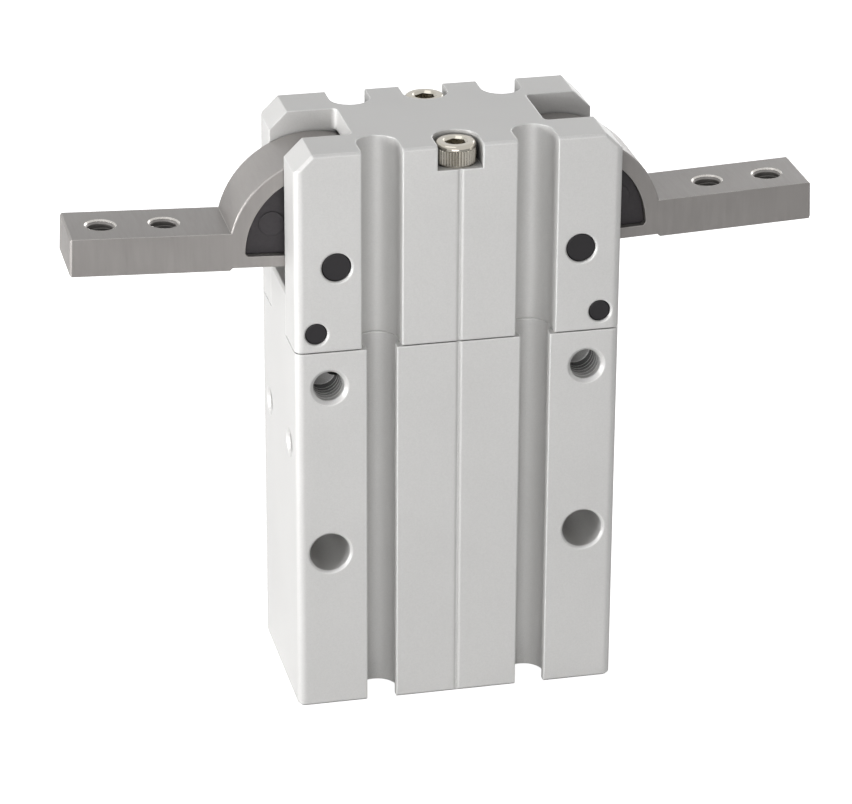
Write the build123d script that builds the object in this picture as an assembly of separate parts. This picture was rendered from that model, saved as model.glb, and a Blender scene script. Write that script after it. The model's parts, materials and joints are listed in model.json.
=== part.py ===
from build123d import *
from math import cos, radians, sin, sqrt
import os

# Pneumatic 180 degree gripper, fingers open, in millimetres.
# Origin at the bottom centre of the body, +X to the right finger, +Y to the rear, +Z up.
# The rod pushes a crosshead, whose rollers run in a cam slot in each finger and swing it.

# Outside of the body and the finger housing above it
WIDTH = 44.0
DEPTH = 24.0
HEIGHT = 80.0
HEAD_HEIGHT = 27.7
CORNER_R = 1.1
EDGE_BREAK = 0.35
EAR_CHAMFER = 2.4

# Sensor grooves down the front and rear, with the centre line mark between them
GROOVE_TO_HOLE = 7.1
BODY_GROOVE_MOUTH = 4.1
BODY_GROOVE_FLOOR = 0.15
GROOVE_R = 2.75
HEAD_GROOVE_FLOOR = 0.85
MARK_W = 0.8
MARK_DEPTH = 0.3

# Fingers: pivot, arm and the round guard above the arm
PIVOT_INSET = 5.55
PIVOT_DROP = 15.8
PIVOT_PIN_R = 2.0
FINGER_W = 10.0
FINGER_REACH = 33.9
ARM_THICK = 5.2
ARM_STEP = 0.35
ARM_ROOT = 0.6
GUARD_R = 13.0
GUARD_WALL = 2.2
GUARD_END_DEG = 110.0
FLOOR_WALL = 1.5
EYE_R = 3.5
FINGER_PLATE_W = 4.0
FINGER_HOLE_X = 20.85
FINGER_HOLE_PITCH = 8.4
FINGER_HOLE_R = 1.7
FINGER_HOLE_CHAMFER = 0.45
FINGER_BUSH_WALL = 0.7
FINGER_EDGE = 0.25
OPEN_TILT_DEG = 2.4
CLOSED_LEAN_DEG = 1.5

# Resin inserts in the sides of each finger
INSERT_RECESS = 1.1
INSERT_INNER_X = 0.5
INSERT_CORNER_R = 0.6
INSERT_PEG_R = 1.7
INSERT_PEG_INSET = 3.6
INSERT_PEG_Z = 3.4
INSERT_PEG_RISE = 0.15
INSERT_FIT = 0.05

# Cam drive: stroke, and how far inside the finger pivot the rollers run
STROKE = 6.0
CAM_REACH = 7.5
ROLLER_R = 1.7
CAM_WALL = 1.2
DRIVE_PIN_R = 1.0
DRIVE_BOSS_R = 2.0
CROSSHEAD_ARM_R = 1.5
CROSSHEAD_DROP = 4.6
CROSSHEAD_HUB_W = 8.0
CROSSHEAD_HUB_H = 4.0
CROSSHEAD_SOCKET_AF = 2.0
ROD_THREAD = 5.0

# Finger slot of the housing, its screws and its pins
SLOT_INSET = 3.55
SLOT_CORNER_R = 0.8
HEAD_SCREW_INSET = 3.0
HEAD_SCREW_R = 1.5
HEAD_SCREW_HEAD_R = 2.75
HEAD_SCREW_HEAD_H = 3.0
HEAD_SCREW_GRIP = 7.7
SCREW_SOCKET_AF = 2.5
NOTCH_W = 6.1
NOTCH_DEPTH = 3.4
LOCK_PIN_INSET = 2.8
LOCK_PIN_RISE = 2.7
LOCK_PIN_R = 1.5
PIN_RECESS = 0.3
PIN_CHAMFER = 0.2

# Body tongues that stand up between the ears of the housing
TONGUE_WIDTH = 5.3
TONGUE_RISE = 6.2
TONGUE_SLOPE_W = 1.3
TONGUE_SLOPE_H = 2.7

# Ports, through holes and side threads of the body
HOLE_INSET = 4.5
PORT_DROP = 5.0
PORT_R = 2.1
PORT_CHAMFER = 0.5
PORT_DEPTH = 6.0
MOUNT_HOLE_Z = 23.0
MOUNT_HOLE_R = 2.75
SIDE_HOLE_INSET = 5.0
SIDE_HOLE_DROP = 14.7
SIDE_HOLE_R = 1.65
SIDE_HOLE_DEPTH = 5.5
SIDE_HOLE_CHAMFER = 0.4
HOLE_CHAMFER = 0.3
PASSAGE_TO_HOLE = 4.7
PASSAGE_R = 0.9
PLUG_R = 1.2

# Cylinder
BORE_R = 8.0
CLIP_Z = 1.3
CLIP_THICK = 1.0
CLIP_GROOVE = 0.5
CLIP_WIDTH = 1.3
CLIP_LUG_R = 1.3
CLIP_LUG_X = 2.2
CLIP_LUG_SINK = 0.4
CLIP_GAP = 0.6
CAP_THICK = 5.6
O_RING_R = 0.85
BUMPER_THICK = 1.0
BUMPER_INSET = 1.6
PISTON_LENGTH = 13.0
WEAR_RING_H = 2.2
WEAR_RING_T = 1.1
MAGNET_H = 3.2
MAGNET_T = 2.4
PISTON_SEAL_H = 2.4
PISTON_SEAL_T = 2.0
SEAL_LIP_DEPTH = 1.0
PISTON_NUT_AF = 7.0
PISTON_NUT_H = 2.2
ROD_R = 3.0
ROD_SPIGOT_R = 2.0
PARTITION = 5.0
GUIDE_R = 5.4
ROD_SEAL_H = 3.5

# Clearances
SLOT_FIT = 0.15
TONGUE_FIT = 0.05
RUN_FIT = 0.03
PISTON_FIT = 0.1
ROLLER_FIT = 0.1
GUARD_FIT = 0.3
SEAT_FIT = 0.02
SIDE_PLAY = 0.3
CHEEK_FIT = 0.1
SCREW_FIT = 0.1
ROD_GAP = 0.3
MAGNET_FIT = 0.3
WRENCH_GAP = 0.3
O_RING_FIT = 0.1
HUB_GAP = 1.0
OVERCUT = 1.0

# Fine relief round the joint of the body and the housing
SEAM_GAP = 0.2
SEAM_DEPTH = 0.4

# Positions that follow from the values above
FRONT = DEPTH / 2
SEAM_Z = HEIGHT - HEAD_HEIGHT
PIVOT_X = WIDTH / 2 - PIVOT_INSET
PIVOT_Z = HEIGHT - PIVOT_DROP
HOLE_X = WIDTH / 2 - HOLE_INSET
GROOVE_X = HOLE_X - GROOVE_TO_HOLE
PASSAGE_X = HOLE_X - PASSAGE_TO_HOLE
PORT_Z = SEAM_Z - PORT_DROP
SIDE_HOLE_Y = FRONT - SIDE_HOLE_INSET
SIDE_HOLE_Z = SEAM_Z - SIDE_HOLE_DROP
TONGUE_INNER_X = WIDTH / 2 - TONGUE_WIDTH
TONGUE_TOP_Z = SEAM_Z + TONGUE_RISE
LOCK_PIN_X = WIDTH / 2 - LOCK_PIN_INSET
LOCK_PIN_Z = SEAM_Z + LOCK_PIN_RISE
SLOT_INNER_X = PIVOT_X - SLOT_INSET
FINGER_HALF = FINGER_W / 2
PLATE_HALF = FINGER_PLATE_W / 2
ARM_HALF = ARM_THICK / 2
SLOT_HALF = FINGER_HALF + SLOT_FIT
HEAD_GROOVE_DEPTH = FRONT - SLOT_HALF - HEAD_GROOVE_FLOOR
BODY_GROOVE_DEPTH = HEAD_GROOVE_DEPTH - BODY_GROOVE_FLOOR
ARM_STEP_X = GUARD_R - ARM_ROOT
GUARD_IN_R = GUARD_R - GUARD_WALL
INSERT_PEG_X = GUARD_IN_R - INSERT_PEG_INSET
FLOOR_Z = ARM_STEP - ARM_HALF
POCKET_Z = FLOOR_Z + FLOOR_WALL
OPEN_DEG = OPEN_TILT_DEG
CLOSED_DEG = 90 + CLOSED_LEAN_DEG
DRIVE_X = PIVOT_X - CAM_REACH
DRIVE_Z = PIVOT_Z + STROKE / 2
HUB_TOP_Z = DRIVE_Z - CROSSHEAD_DROP + CROSSHEAD_HUB_H / 2
HUB_BOTTOM_Z = HUB_TOP_Z - CROSSHEAD_HUB_H
CHEEK_HALF = FINGER_HALF - CHEEK_FIT
CHEEK_INNER = PLATE_HALF + SIDE_PLAY
CAM_HALF_W = ROLLER_R + ROLLER_FIT
CAP_Z = CLIP_Z + CLIP_THICK
CAP_TOP_Z = CAP_Z + CAP_THICK
PISTON_Z = CAP_TOP_Z + BUMPER_THICK + STROKE
PISTON_TOP_Z = PISTON_Z + PISTON_LENGTH
BORE_TOP_Z = PISTON_TOP_Z + BUMPER_THICK
GUIDE_Z = BORE_TOP_Z + PARTITION
NOTCH_Z = HEIGHT - NOTCH_DEPTH
HEAD_SCREW_Y = FRONT - HEAD_SCREW_INSET
HEAD_SCREW_LENGTH = NOTCH_Z - SEAM_Z + HEAD_SCREW_GRIP


def slab(profile, y_from, y_to):
    """A profile drawn in X and Z, as a solid between two depths in Y."""
    return extrude(Plane.XZ.offset(-y_to) * profile, amount=y_to - y_from)


def plate(x_from, x_to, y_from, y_to, z_from, z_to):
    """A block between two corners."""
    size = (x_to - x_from, y_to - y_from, z_to - z_from)
    return Pos(x_from, y_from, z_from) * Box(*size, align=(Align.MIN, Align.MIN, Align.MIN))


def rod_along(axis, start, length, radius):
    """A round bar that starts at a point and runs along an axis."""
    return Solid.make_cylinder(radius, length, Plane(origin=start, z_dir=axis))


def flare_along(axis, start, radius, width):
    """The chamfer at the mouth of a hole, as a cone that narrows along the axis."""
    return Solid.make_cone(radius + width, radius, width, Plane(origin=start, z_dir=axis))


def pin_along(axis, start, length, radius, chamfer_width):
    """A dowel with a chamfer at both ends."""
    pin = rod_along(axis, start, length, radius)
    return chamfer(pin.edges().filter_by(GeomType.CIRCLE), chamfer_width)


def tube(outer_r, inner_r, z_from, z_to):
    """A ring about the centre line of the cylinder."""
    ring = rod_along((0, 0, 1), (0, 0, z_from), z_to - z_from, outer_r)
    return ring - rod_along((0, 0, 1), (0, 0, z_from - OVERCUT), z_to - z_from + 2 * OVERCUT, inner_r)


def on_both_sides(shape):
    """A shape and its mirror image across the centre plane."""
    return shape + mirror(shape, about=Plane.YZ)


def hexagon(across_flats):
    """A hexagon by the size of its wrench."""
    return RegularPolygon(across_flats / sqrt(3), 6)


def groove_cutter(mouth, depth, z_from, z_to):
    """The four round sensor grooves between two heights, with a straight mouth at the face."""
    centre_y = FRONT - depth + GROOVE_R
    opening = Pos(GROOVE_X, centre_y) * Rectangle(mouth, DEPTH, align=(Align.CENTER, Align.MIN))
    outline = opening + Pos(GROOVE_X, centre_y) * Circle(GROOVE_R)
    outline = outline + mirror(outline, about=Plane.XZ)
    outline = outline + mirror(outline, about=Plane.YZ)
    return extrude(Pos(0, 0, z_from) * outline, amount=z_to - z_from)


def seam_relief():
    """The fine shadow line round the joint, cut in the lower end of the housing."""
    frame = plate(-WIDTH, WIDTH, -DEPTH, DEPTH, SEAM_Z - OVERCUT, SEAM_Z + SEAM_GAP)
    inner_x, inner_y = WIDTH / 2 - SEAM_DEPTH, FRONT - SEAM_DEPTH
    return frame - plate(-inner_x, inner_x, -inner_y, inner_y, SEAM_Z - OVERCUT, HEIGHT)


def mark_cutter(z_from, z_to):
    """The shallow V down the middle of the front and rear."""
    corners = [(-MARK_W / 2, FRONT), (0, FRONT - MARK_DEPTH), (MARK_W / 2, FRONT)]
    valley = make_face(Polyline(*corners, close=True))
    valley = valley + mirror(valley, about=Plane.XZ)
    return extrude(Pos(0, 0, z_from) * valley, amount=z_to - z_from)


def port_cutter():
    """One air port, and the slanted drilling from its mouth to the upright passage."""
    mouth = Vector(HOLE_X, -FRONT, PORT_Z)
    port = rod_along((0, 1, 0), mouth, PORT_DEPTH, PORT_R)
    port += flare_along((0, 1, 0), mouth, PORT_R, PORT_CHAMFER)
    target = Vector(PASSAGE_X, 0, PORT_Z)
    slant = target - mouth - Vector(PORT_R - PASSAGE_R, 0, 0)
    slant *= (FRONT - PORT_DEPTH + 2 * PASSAGE_R) / FRONT
    return port + rod_along(slant, target - slant, slant.length, PASSAGE_R)


def passage_cutter(chamber_z):
    """The upright passage from the top of the body down to one chamber of the cylinder."""
    upright = rod_along((0, 0, -1), (PASSAGE_X, 0, SEAM_Z), SEAM_Z - chamber_z, PASSAGE_R)
    seat = rod_along((0, 0, -1), (PASSAGE_X, 0, SEAM_Z), 2 * PLUG_R, PLUG_R)
    cross = rod_along((-1, 0, 0), (PASSAGE_X, 0, chamber_z), PASSAGE_X - BORE_R + OVERCUT, PASSAGE_R)
    return upright + seat + cross


def cylinder_cutter():
    """The bore with its clip groove, the hole through the partition and the rod guide seat."""
    bore = rod_along((0, 0, 1), (0, 0, -OVERCUT), BORE_TOP_Z + OVERCUT, BORE_R)
    clip = rod_along((0, 0, 1), (0, 0, CLIP_Z), CLIP_THICK, BORE_R + CLIP_GROOVE)
    lead = flare_along((0, 0, 1), (0, 0, 0), BORE_R, HOLE_CHAMFER)
    through = rod_along((0, 0, 1), (0, 0, 0), SEAM_Z, ROD_R + ROD_GAP)
    guide = rod_along((0, 0, 1), (0, 0, GUIDE_Z), SEAM_Z, GUIDE_R)
    return bore + clip + lead + through + guide


def tongue():
    """The tongue under the right finger, cut back where the cam lobe passes it."""
    block = plate(
        TONGUE_INNER_X, WIDTH / 2, TONGUE_FIT - SLOT_HALF, SLOT_HALF - TONGUE_FIT, SEAM_Z, TONGUE_TOP_Z
    )
    block = chamfer(block.edges().filter_by(Axis.Y).group_by(Axis.Z)[-1].sort_by(Axis.X)[-1], EDGE_BREAK)
    corners = [
        (TONGUE_INNER_X, TONGUE_TOP_Z - TONGUE_SLOPE_H),
        (TONGUE_INNER_X + TONGUE_SLOPE_W, TONGUE_TOP_Z),
        (TONGUE_INNER_X - OVERCUT, TONGUE_TOP_Z + OVERCUT),
        (TONGUE_INNER_X - OVERCUT, TONGUE_TOP_Z - TONGUE_SLOPE_H),
    ]
    return block - slab(make_face(Polyline(*corners, close=True)), -DEPTH, DEPTH)


def body():
    """The aluminium body: cylinder, grooves, ports, mounting holes and the two tongues."""
    block = plate(-WIDTH / 2, WIDTH / 2, -FRONT, FRONT, 0, SEAM_Z)
    block = fillet(block.edges().filter_by(Axis.Z), CORNER_R)
    block = chamfer(block.faces().sort_by(Axis.Z)[0].edges(), EDGE_BREAK)
    block -= groove_cutter(BODY_GROOVE_MOUTH, BODY_GROOVE_DEPTH, -OVERCUT, SEAM_Z + OVERCUT)
    block -= mark_cutter(-OVERCUT, SEAM_Z + OVERCUT)
    block += on_both_sides(tongue())
    block -= cylinder_cutter()
    block -= port_cutter() + passage_cutter(BORE_TOP_Z - PASSAGE_R)
    block -= mirror(port_cutter() + passage_cutter(CAP_TOP_Z + PASSAGE_R), about=Plane.YZ)
    through = rod_along((0, 1, 0), (HOLE_X, -FRONT, MOUNT_HOLE_Z), DEPTH, MOUNT_HOLE_R)
    through += flare_along((0, 1, 0), (HOLE_X, -FRONT, MOUNT_HOLE_Z), MOUNT_HOLE_R, HOLE_CHAMFER)
    through += flare_along((0, -1, 0), (HOLE_X, FRONT, MOUNT_HOLE_Z), MOUNT_HOLE_R, HOLE_CHAMFER)
    lock = rod_along((0, 1, 0), (LOCK_PIN_X, -FRONT, LOCK_PIN_Z), DEPTH, LOCK_PIN_R)
    block -= on_both_sides(through + lock)
    for y in (-SIDE_HOLE_Y, SIDE_HOLE_Y):
        mouth = (WIDTH / 2, y, SIDE_HOLE_Z)
        side = rod_along((-1, 0, 0), mouth, SIDE_HOLE_DEPTH, SIDE_HOLE_R)
        side += flare_along((-1, 0, 0), mouth, SIDE_HOLE_R, SIDE_HOLE_CHAMFER)
        block -= on_both_sides(side)
    thread_depth = HEAD_SCREW_GRIP + OVERCUT
    for y in (-HEAD_SCREW_Y, HEAD_SCREW_Y):
        block -= rod_along((0, 0, -1), (0, y, SEAM_Z), thread_depth, HEAD_SCREW_R + SEAT_FIT)
    return block


def finger_cavity():
    """What the fingers and the crosshead sweep inside the housing."""
    clear_r = GUARD_R + GUARD_FIT
    half_hub = CROSSHEAD_HUB_W / 2 + HUB_GAP
    lower_h = PIVOT_Z - SEAM_Z + OVERCUT
    lower = Pos(0, PIVOT_Z - lower_h / 2) * Rectangle(WIDTH + 2 * OVERCUT, lower_h)
    middle = Pos(0, (SEAM_Z + DRIVE_Z) / 2) * Rectangle(2 * half_hub, DRIVE_Z - SEAM_Z)
    rounds = [Pos(side * PIVOT_X, PIVOT_Z) * Circle(clear_r) for side in (-1, 1)]
    profile = lower + middle + rounds
    cavity = slab(profile, -SLOT_HALF, SLOT_HALF)
    opening = plate(
        SLOT_INNER_X, WIDTH, -SLOT_HALF, SLOT_HALF, PIVOT_Z - OVERCUT, HEIGHT + OVERCUT
    )
    inner_corners = opening.edges().filter_by(Axis.Z).group_by(Axis.X)[0]
    return cavity + on_both_sides(fillet(inner_corners, SLOT_CORNER_R))


def head():
    """The finger housing: two ear plates joined by a bridge, screwed and pinned to the body."""
    outline = make_face(Polyline(
        (-WIDTH / 2, SEAM_Z), (WIDTH / 2, SEAM_Z), (WIDTH / 2, HEIGHT - EAR_CHAMFER),
        (WIDTH / 2 - EAR_CHAMFER, HEIGHT), (EAR_CHAMFER - WIDTH / 2, HEIGHT),
        (-WIDTH / 2, HEIGHT - EAR_CHAMFER), close=True,
    ))
    block = slab(outline, -FRONT, FRONT)
    outer_faces = block.faces().group_by(Axis.Y)
    edges = [edge for face in outer_faces[0] + outer_faces[-1] for edge in face.edges()]
    top_edges = [edge for edge in edges if edge.center().Z > HEIGHT - EAR_CHAMFER]
    block = chamfer(top_edges, EDGE_BREAK)
    block = fillet(block.edges().filter_by(Axis.Z), CORNER_R)
    block -= finger_cavity()
    block -= groove_cutter(2 * GROOVE_R, HEAD_GROOVE_DEPTH, SEAM_Z - OVERCUT, HEIGHT + OVERCUT)
    block -= seam_relief()
    block -= mark_cutter(SEAM_Z - OVERCUT, HEIGHT + OVERCUT)
    for side in (-1, 1):
        notch = rod_along((0, 0, 1), (0, side * HEAD_SCREW_Y, NOTCH_Z), HEIGHT, NOTCH_W / 2)
        outer = side * (FRONT + OVERCUT)
        low, high = sorted((side * HEAD_SCREW_Y, outer))
        notch += plate(-NOTCH_W / 2, NOTCH_W / 2, low, high, NOTCH_Z, HEIGHT + OVERCUT)
        shank = rod_along((0, 0, -1), (0, side * HEAD_SCREW_Y, HEIGHT), HEIGHT, HEAD_SCREW_R + SCREW_FIT)
        block -= notch + shank
    pivot = pin_hole(PIVOT_X, PIVOT_Z, PIVOT_PIN_R)
    lock = pin_hole(LOCK_PIN_X, LOCK_PIN_Z, LOCK_PIN_R)
    return block - on_both_sides(pivot + lock)


def pin_hole(x, z, radius):
    """A hole for a dowel through both ears, with a light chamfer at each mouth."""
    hole = rod_along((0, 1, 0), (x, -FRONT, z), DEPTH, radius)
    hole += flare_along((0, 1, 0), (x, -FRONT, z), radius, PIN_CHAMFER)
    return hole + flare_along((0, -1, 0), (x, FRONT, z), radius, PIN_CHAMFER)


def dowel(x, z, radius):
    """A dowel through both ears, sunk a little below the faces."""
    length = DEPTH - 2 * PIN_RECESS
    return pin_along((0, 1, 0), (x, PIN_RECESS - FRONT, z), length, radius, PIN_CHAMFER)


def head_screws():
    """The two socket head cap screws that hold the housing on the body."""
    head_top = NOTCH_Z + HEAD_SCREW_HEAD_H
    screw = rod_along((0, 0, 1), (0, 0, NOTCH_Z), HEAD_SCREW_HEAD_H, HEAD_SCREW_HEAD_R)
    screw = chamfer(screw.edges().group_by(Axis.Z)[-1], HOLE_CHAMFER)
    socket_depth = HEAD_SCREW_HEAD_H / 2
    screw -= extrude(Pos(0, 0, head_top - socket_depth) * hexagon(SCREW_SOCKET_AF), amount=socket_depth)
    shank = pin_along((0, 0, -1), (0, 0, NOTCH_Z), HEAD_SCREW_LENGTH, HEAD_SCREW_R, PIN_CHAMFER)
    collar = rod_along((0, 0, -1), (0, 0, NOTCH_Z), OVERCUT, HEAD_SCREW_R)
    screw = screw + shank + collar
    return [Pos(0, side * HEAD_SCREW_Y, 0) * screw for side in (-1, 1)]


def cam_point(turn_deg, offset=0.0):
    """A point of the cam slot in the finger's own frame, at an offset from its centre line.

    The roller falls in step with the finger's turn, so the slot is the roller's straight
    path as the turning finger sees it. X is outward from the pivot and Z is up.
    """
    def centre(turn):
        fall = STROKE * (turn - OPEN_DEG) / (CLOSED_DEG - OPEN_DEG)
        rise = STROKE / 2 - fall
        angle = radians(turn)
        inward = CAM_REACH * cos(angle) - rise * sin(angle)
        return Vector(-inward, CAM_REACH * sin(angle) + rise * cos(angle))
    here = centre(turn_deg)
    along = (centre(turn_deg + 0.5) - centre(turn_deg - 0.5)).normalized()
    return here + Vector(-along.Y, along.X) * offset


def cam_face(half_width):
    """The cam slot's outline, with round ends."""
    turns = [OPEN_DEG + (CLOSED_DEG - OPEN_DEG) * step / 6 for step in range(7)]
    upper = [cam_point(turn, half_width) for turn in turns]
    lower = [cam_point(turn, -half_width) for turn in turns]
    start, end = cam_point(turns[0]), cam_point(turns[-1])
    start_along = (cam_point(turns[0] + 1) - start).normalized()
    end_along = (end - cam_point(turns[-1] - 1)).normalized()
    outline = Wire([
        Edge.make_spline(upper),
        Edge.make_three_point_arc(upper[-1], end + end_along * half_width, lower[-1]),
        Edge.make_spline(lower[::-1]),
        Edge.make_three_point_arc(lower[0], start - start_along * half_width, upper[0]),
    ])
    return Sketch() + Face(outline)


def sector(radius, low_z):
    """A pie slice about the pivot, from a level just below it up to the end of the guard."""
    far = 2 * radius
    turns = (GUARD_END_DEG, GUARD_END_DEG / 2, 0)
    rays = [(far * cos(radians(turn)), far * sin(radians(turn))) for turn in turns]
    outline = Polyline((0, 0), *rays, (far, low_z), (0, low_z), close=True)
    return make_face(outline) & Circle(radius)


def pocket_face(fit, inner_x):
    """The side pocket between the floor and the guard, less a fit all round."""
    above = Rectangle(GUARD_R - inner_x, GUARD_R, align=(Align.MIN, Align.MIN))
    face = Pos(inner_x, POCKET_Z + fit) * above & Circle(GUARD_IN_R - fit)
    return fillet(face.vertices().sort_by(Axis.X)[-1], INSERT_CORNER_R)


def finger_frame():
    """The full width of the finger: arm, floor, guard and eye."""
    arm = make_face(Polyline(
        (ARM_STEP_X, ARM_HALF), (ARM_STEP_X, FLOOR_Z), (ARM_STEP_X + ARM_STEP, -ARM_HALF),
        (FINGER_REACH, -ARM_HALF), (FINGER_REACH, ARM_HALF), close=True,
    ))
    rim = sector(GUARD_R, FLOOR_Z) - pocket_face(0, -2 * GUARD_R)
    block = slab(rim + arm + Circle(EYE_R), -FINGER_HALF, FINGER_HALF)
    rounds = block.edges().filter_by(GeomType.CIRCLE)
    block = fillet([edge for edge in rounds if abs(edge.radius - GUARD_R) < SEAT_FIT], FINGER_EDGE)
    tip = block.faces().sort_by(Axis.X)[-1]
    return chamfer(tip.edges(), FINGER_EDGE)


def finger_plate():
    """The plate in the middle of the finger, with the cam slot in its lobe."""
    inside_guard = (GUARD_R + GUARD_IN_R) / 2
    inside_floor = (FLOOR_Z + POCKET_Z) / 2
    plate_face = sector(inside_guard, inside_floor) + lobe_face() - cam_face(CAM_HALF_W)
    return slab(plate_face, -PLATE_HALF, PLATE_HALF)


def finger():
    """The right finger in its own frame, lying level."""
    block = finger_frame() + finger_plate()
    block -= slab(Circle(PIVOT_PIN_R + RUN_FIT + FINGER_BUSH_WALL), -FINGER_W, FINGER_W)
    peg_hole = Pos(INSERT_PEG_X, INSERT_PEG_Z) * Circle(INSERT_PEG_R + INSERT_FIT)
    block -= slab(peg_hole, -FINGER_HALF, FINGER_HALF)
    for step in range(2):
        x = FINGER_HOLE_X + step * FINGER_HOLE_PITCH
        block -= rod_along((0, 0, 1), (x, 0, -ARM_THICK), 2 * ARM_THICK, FINGER_HOLE_R)
        block -= flare_along((0, 0, -1), (x, 0, ARM_HALF), FINGER_HOLE_R, FINGER_HOLE_CHAMFER)
        block -= flare_along((0, 0, 1), (x, 0, -ARM_HALF), FINGER_HOLE_R, FINGER_HOLE_CHAMFER)
    return block


def lobe_face():
    """The lobe round the cam slot, joined to the eye."""
    lobe_r = CAM_HALF_W + CAM_WALL
    rounds = [Circle(EYE_R)]
    for share in (0, 0.5, 1):
        point = cam_point(OPEN_DEG + share * (CLOSED_DEG - OPEN_DEG))
        rounds.append(Pos(point.X, point.Y) * Circle(lobe_r))
    edges = [edge for disc in rounds for edge in disc.edges()]
    return make_hull(edges)


def finger_insert(side):
    """The resin insert on one side of the finger, with the peg that holds it in the plate."""
    face_y = side * (FINGER_HALF - INSERT_RECESS)
    low, high = sorted((side * PLATE_HALF, face_y))
    block = slab(pocket_face(INSERT_FIT, INSERT_INNER_X) - Circle(EYE_R + INSERT_FIT), low, high)
    low, high = sorted((0, face_y + side * INSERT_PEG_RISE))
    return block + slab(Pos(INSERT_PEG_X, INSERT_PEG_Z) * Circle(INSERT_PEG_R), low, high)


def finger_bush():
    """The bush pressed in the finger's eye."""
    inner = PIVOT_PIN_R + RUN_FIT
    return slab(Circle(inner + FINGER_BUSH_WALL) - Circle(inner), -FINGER_HALF, FINGER_HALF)


def as_right(shape):
    """Puts a piece of the finger at the right pivot, turned to the open position."""
    return Pos(PIVOT_X, 0, PIVOT_Z) * Rot(0, -OPEN_TILT_DEG, 0) * shape


def as_left(shape):
    """Puts a piece of the finger at the left pivot, turned to the open position."""
    return mirror(as_right(shape), about=Plane.YZ)


def crosshead():
    """The forked crosshead on the rod, whose cheeks carry the drive pins."""
    base_z = DRIVE_Z - CROSSHEAD_DROP
    boss = Pos(DRIVE_X, DRIVE_Z) * Circle(DRIVE_BOSS_R)
    knee = Pos(DRIVE_X, base_z) * Circle(CROSSHEAD_ARM_R)
    root = Pos(0, base_z) * Circle(CROSSHEAD_ARM_R)
    arm = make_hull(boss.edges() + knee.edges()) + make_hull(knee.edges() + root.edges())
    hub = Pos(0, base_z) * Rectangle(CROSSHEAD_HUB_W, CROSSHEAD_HUB_H)
    profile = hub + arm + mirror(arm, about=Plane.YZ)
    block = slab(profile, -CHEEK_HALF, CHEEK_HALF)
    fork = plate(
        CROSSHEAD_HUB_W / 2, WIDTH, -CHEEK_INNER, CHEEK_INNER, HUB_BOTTOM_Z - OVERCUT, HEIGHT
    )
    fork += plate(0, WIDTH, -CHEEK_INNER, CHEEK_INNER, HUB_TOP_Z, HEIGHT)
    pin = rod_along((0, 1, 0), (DRIVE_X, -DEPTH, DRIVE_Z), 2 * DEPTH, DRIVE_PIN_R)
    block -= on_both_sides(fork + pin)
    block -= rod_along((0, 0, 1), (0, 0, HUB_BOTTOM_Z), CROSSHEAD_HUB_H / 2, ROD_SPIGOT_R + SEAT_FIT)
    block -= rod_along((0, 0, 1), (0, 0, HUB_BOTTOM_Z), HEIGHT, HEAD_SCREW_R + SCREW_FIT)
    return block - countersink(SEAT_FIT)


def countersink(fit):
    """The cone of the countersunk screw in the crosshead."""
    head_r = HEAD_SCREW_HEAD_R + fit
    depth = head_r - HEAD_SCREW_R
    return Solid.make_cone(head_r, HEAD_SCREW_R, depth, Plane(origin=(0, 0, HUB_TOP_Z), z_dir=(0, 0, -1)))


def crosshead_screw():
    """The countersunk screw that holds the crosshead on the rod."""
    depth = HEAD_SCREW_HEAD_R - HEAD_SCREW_R
    length = CROSSHEAD_HUB_H + ROD_THREAD - OVERCUT
    screw = countersink(0) + rod_along((0, 0, -1), (0, 0, HUB_TOP_Z - depth), length - depth, HEAD_SCREW_R)
    socket = extrude(Pos(0, 0, HUB_TOP_Z - depth) * hexagon(CROSSHEAD_SOCKET_AF), amount=depth)
    return screw - socket


def piston_rod():
    """The rod, with a spigot at each end and the thread for the crosshead screw."""
    rod = rod_along((0, 0, 1), (0, 0, PISTON_TOP_Z), HUB_BOTTOM_Z - PISTON_TOP_Z, ROD_R)
    rod = chamfer(rod.edges().group_by(Axis.Z)[-1], HOLE_CHAMFER)
    spigot_h = CROSSHEAD_HUB_H / 2 - PIN_CHAMFER
    rod += rod_along((0, 0, 1), (0, 0, HUB_BOTTOM_Z - OVERCUT), OVERCUT + spigot_h, ROD_SPIGOT_R)
    tail = PISTON_LENGTH - HOLE_CHAMFER
    rod += rod_along((0, 0, -1), (0, 0, PISTON_TOP_Z + OVERCUT), tail + OVERCUT, ROD_SPIGOT_R)
    return rod - rod_along((0, 0, 1), (0, 0, HUB_BOTTOM_Z - ROD_THREAD), HEIGHT, HEAD_SCREW_R + SEAT_FIT)


def piston():
    """The piston, with grooves for its wear ring, magnet and seal, and a seat for the nut."""
    block = rod_along((0, 0, 1), (0, 0, PISTON_Z), PISTON_LENGTH, BORE_R - PISTON_FIT)
    block = chamfer(block.edges().filter_by(GeomType.CIRCLE), HOLE_CHAMFER)
    for z_from, z_to, floor_r in piston_grooves():
        block -= tube(BORE_R, floor_r, z_from, z_to)
    block -= rod_along((0, 0, 1), (0, 0, PISTON_Z), PISTON_LENGTH, ROD_SPIGOT_R + SEAT_FIT)
    nut_seat_r = PISTON_NUT_AF / sqrt(3) + WRENCH_GAP
    return block - rod_along((0, 0, 1), (0, 0, PISTON_Z), PISTON_NUT_H + HOLE_CHAMFER, nut_seat_r)


def piston_grooves():
    """Lower and upper height and floor radius of the wear ring, magnet and seal grooves."""
    sizes = ((WEAR_RING_H, WEAR_RING_T), (MAGNET_H, MAGNET_T), (PISTON_SEAL_H, PISTON_SEAL_T))
    land = (PISTON_LENGTH - sum(height for height, _ in sizes)) / (len(sizes) + 1)
    grooves = []
    z = PISTON_Z + land
    for height, depth in sizes:
        grooves.append((z, z + height, BORE_R - depth))
        z += height + land
    return grooves


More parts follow.
